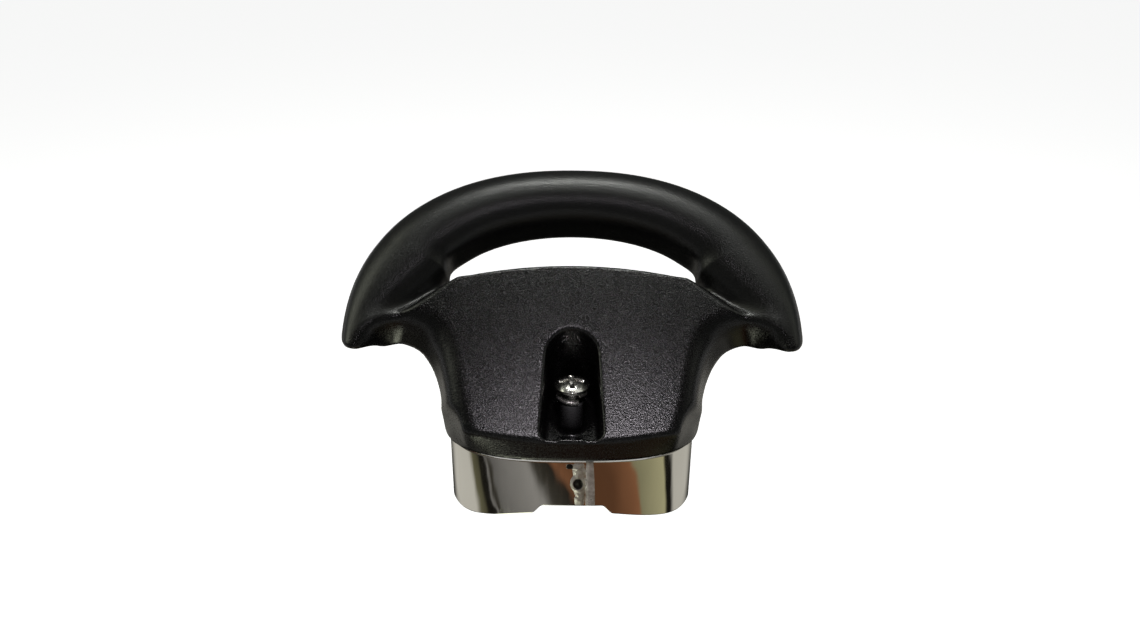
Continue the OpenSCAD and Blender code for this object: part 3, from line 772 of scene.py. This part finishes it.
# Each field's start and end, in degrees from straight in front, its tint and its strength at both ends
CARD_FIELDS = [
    (-180, -78, PALE_TABLE, 1.0, 0.9), (-71, -64, OLIVE_CLOTH, 0.3, 0.2), (-60, -53, DARK_FRAME, 1, 1),
    (-51.8, -51.2, GREY_BENCH, 0.9, 0.9), (-50, -47.5, DARK_FRAME, 3, 4), (-45, -16, GREY_BENCH, 0.5, 1.1),
    (-12.5, -7, DARK_FRAME, 4, 2), (-4.6, -0.5, BROWN_WOOD, 1.0, 0.5), (7.5, 29, BROWN_WOOD, 0.5, 1.2),
    (33, 67, OLIVE_CLOTH, 0.6, 1.05), (71, 78, DARK_FRAME, 1, 1), (85, 180, PALE_TABLE, 0.9, 1.0)]


def field_stops():
    """The fields as stops of a colour ramp, one at each end of a field."""
    ends = [(turn, tint, strength) for start, end, tint, begin, finish in CARD_FIELDS
            for turn, strength in ((start, begin), (end, finish))]
    return [((turn + 180) / 360, tuple(strength * part for part in tint)) for turn, tint, strength in ends]


def room_card():
    """What the polished steel mirrors: fields of grey, brown and olive side by side round the object, light at its
    sides, darker right behind it as painted shade and dark under it as a painted shadow of the object, and one bright
    patch in front at the left, seen by reflection alone."""
    shop = Workshop("room_card")
    x, y = shop.axes("XY")
    from_front = y + GUARD_Y * MM
    around = shop.node("ShaderNodeMath", (x, -1 * from_front), operation="ARCTAN2") * (180 / math.pi)
    wobble = shop.noise(30, 2.0, 0.5)
    share = shop.spread(around + (wobble - 0.5) * 9.0 + (diagonal(x, from_front) - 0.18) * 220, -180, 180)
    colour = shop.node("ShaderNodeValToRGB", (share,), stops=field_stops())
    # Painted shadow: the card dims to 3 percent within about 0.12 m of a point just behind the object, standing in for
    # its shadow on the table; painted shade dims it by three quarters right behind the object
    away = diagonal(x, y - 0.04)
    behind = shop.spread(y, 0.075, 0.125) * shop.within(shop.size(x), 0.13, 0.20)
    strength = shop.spread(away, 0.12, 0.16, 0.03, 1.0) * shop.spread(away, 0.28, 0.38, 1.0, 0.35) * (1 - behind * 0.75)
    ground = shop.blend(strength, (0, 0, 0, 1), colour)
    patch_x, patch_y, cos_turn, sin_turn = x + 0.045, y + 0.090, 0.77, 0.637
    lengthwise = patch_x * cos_turn + patch_y * sin_turn
    crosswise = patch_x * sin_turn - patch_y * cos_turn
    lit = shop.within(diagonal(lengthwise * 0.62, crosswise), 0.014, 0.034)
    patch_tint = (0.97, 1.0, 0.78, 1)
    glow = shop.node("ShaderNodeEmission", {"Color": shop.blend(lit, ground, patch_tint), "Strength": 1.0})
    patch = shop.node("ShaderNodeEmission", {"Color": patch_tint, "Strength": 4.4})
    return shop.show(shop.node("ShaderNodeMixShader", {0: lit, 1: glow, 2: patch}))


def plain_black():
    shop = Workshop("flag_black")
    return shop.show(shop.node("ShaderNodeBsdfDiffuse", {"Color": (0.01, 0.01, 0.01, 1)}))


def soft_light(name, place, aim, size, power, colour):
    """An area lamp, its size in metres and its power in watts."""
    lamp = bpy.data.lights.new(name, "AREA")
    lamp.shape, lamp.size, lamp.size_y = "RECTANGLE", size[0], size[1]
    lamp.energy, lamp.color = power, colour
    made = bpy.data.objects.new(name, lamp)
    bpy.context.scene.collection.objects.link(made)
    made.location = place
    made.rotation_euler = (Vector(aim) - Vector(place)).to_track_quat("-Z", "Y").to_euler()


def set_world():
    """White where the camera sees it, and a faint light elsewhere."""
    world = bpy.data.worlds.new("pale_room")
    bpy.context.scene.world = world
    world.use_nodes = True
    tree = world.node_tree
    tree.nodes.clear()
    path = tree.nodes.new("ShaderNodeLightPath")
    choose = tree.nodes.new("ShaderNodeMixShader")
    tree.links.new(path.outputs["Is Camera Ray"], choose.inputs[0])
    for socket, colour, strength in ((1, (0.95, 1.0, 0.95, 1), 0.08), (2, (1, 1, 1, 1), 1.0)):
        ground = tree.nodes.new("ShaderNodeBackground")
        ground.inputs["Color"].default_value, ground.inputs["Strength"].default_value = colour, strength
        tree.links.new(ground.outputs[0], choose.inputs[socket])
    out = tree.nodes.new("ShaderNodeOutputWorld")
    tree.links.new(choose.outputs[0], out.inputs["Surface"])


def set_camera():
    """The photograph's view: 26 degrees down on the handle's front, a 30 mm lens on a 36 mm wide frame."""
    data = bpy.data.cameras.new("camera")
    data.sensor_width, data.lens = 36.0, 30.0
    data.shift_x = -0.0020
    data.clip_start, data.clip_end = 0.01, 20
    camera = bpy.data.objects.new("camera", data)
    bpy.context.scene.collection.objects.link(camera)
    tilt = Matrix.Rotation(math.radians(90 - 26), 4, "X") @ Matrix.Rotation(math.radians(0.4), 4, "Z")
    camera.matrix_world = Matrix.Translation((0, -0.22075, 0.15483)) @ tilt
    bpy.context.scene.camera = camera


# ---------------------------------------------------------------- build

finishes = {"handle_body": grained_moulding(), "flame_guard": polished_steel(), "screw": screw_steel(),
            "flat_washer": washer_steel(), "spring_washer": washer_steel()}
for build, finish in ((moulding, finishes["handle_body"]), (sleeve, finishes["flame_guard"]), (weld_seam, weld_metal()),
                      (screw, finishes["screw"]), (flat_ring, finishes["flat_washer"]),
                      (split_ring, finishes["spring_washer"])):
    build().data.materials.append(finish)
for node, finish in finishes.items():
    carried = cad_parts[node].data.materials
    carried.clear()
    carried.append(finish)

FLOOR_Z = -0.11
stage_plane("floor", (0, 0, FLOOR_Z), (8, 8), pale_floor())
card = stage_plane("room_card", (0, -GUARD_Y * MM, FLOOR_Z + 0.004), (1.3, 1.3), room_card())
card.visible_camera = card.visible_diffuse = card.visible_shadow = card.visible_transmission = False

FLAG_Z = 0.254
flag_black = plain_black()
for name, x, y, size in (("shading_flag", 0, -0.078, (0.5, 0.11)), ("shading_flag_left", -0.112, -0.17, (0.21, 0.074)),
                         ("shading_flag_right", 0.134, -0.17, (0.21, 0.074))):
    flag = stage_plane(name, (x, y, FLAG_Z), size, flag_black)
    flag.visible_camera = flag.visible_transmission = False

MIDDLE = (0, 0, 0.03)
for lamp in (("overhead", (0.0, 0.125, 0.63), (0, 0.04, 0.06), (0.20, 0.05), 1.3, (0.98, 1.0, 0.95)),
             ("overhead_right", (0.20, -0.02, 0.60), MIDDLE, (0.25, 0.20), 0.13, (0.98, 1.0, 0.95)),
             ("front", (0.02, -0.27, 0.46), MIDDLE, (0.04, 0.10), 1.0, (1.0, 0.93, 1.0)),
             ("left_fill", (-0.42, 0.06, 0.38), MIDDLE, (0.20, 0.45), 0.55, (0.97, 1.0, 0.82)),
             ("right_fill", (0.42, 0.06, 0.38), MIDDLE, (0.20, 0.45), 0.16, (0.97, 1.0, 0.86))):
    soft_light(*lamp)
set_world()
set_camera()
bpy.context.scene.view_settings.view_transform = "Standard"
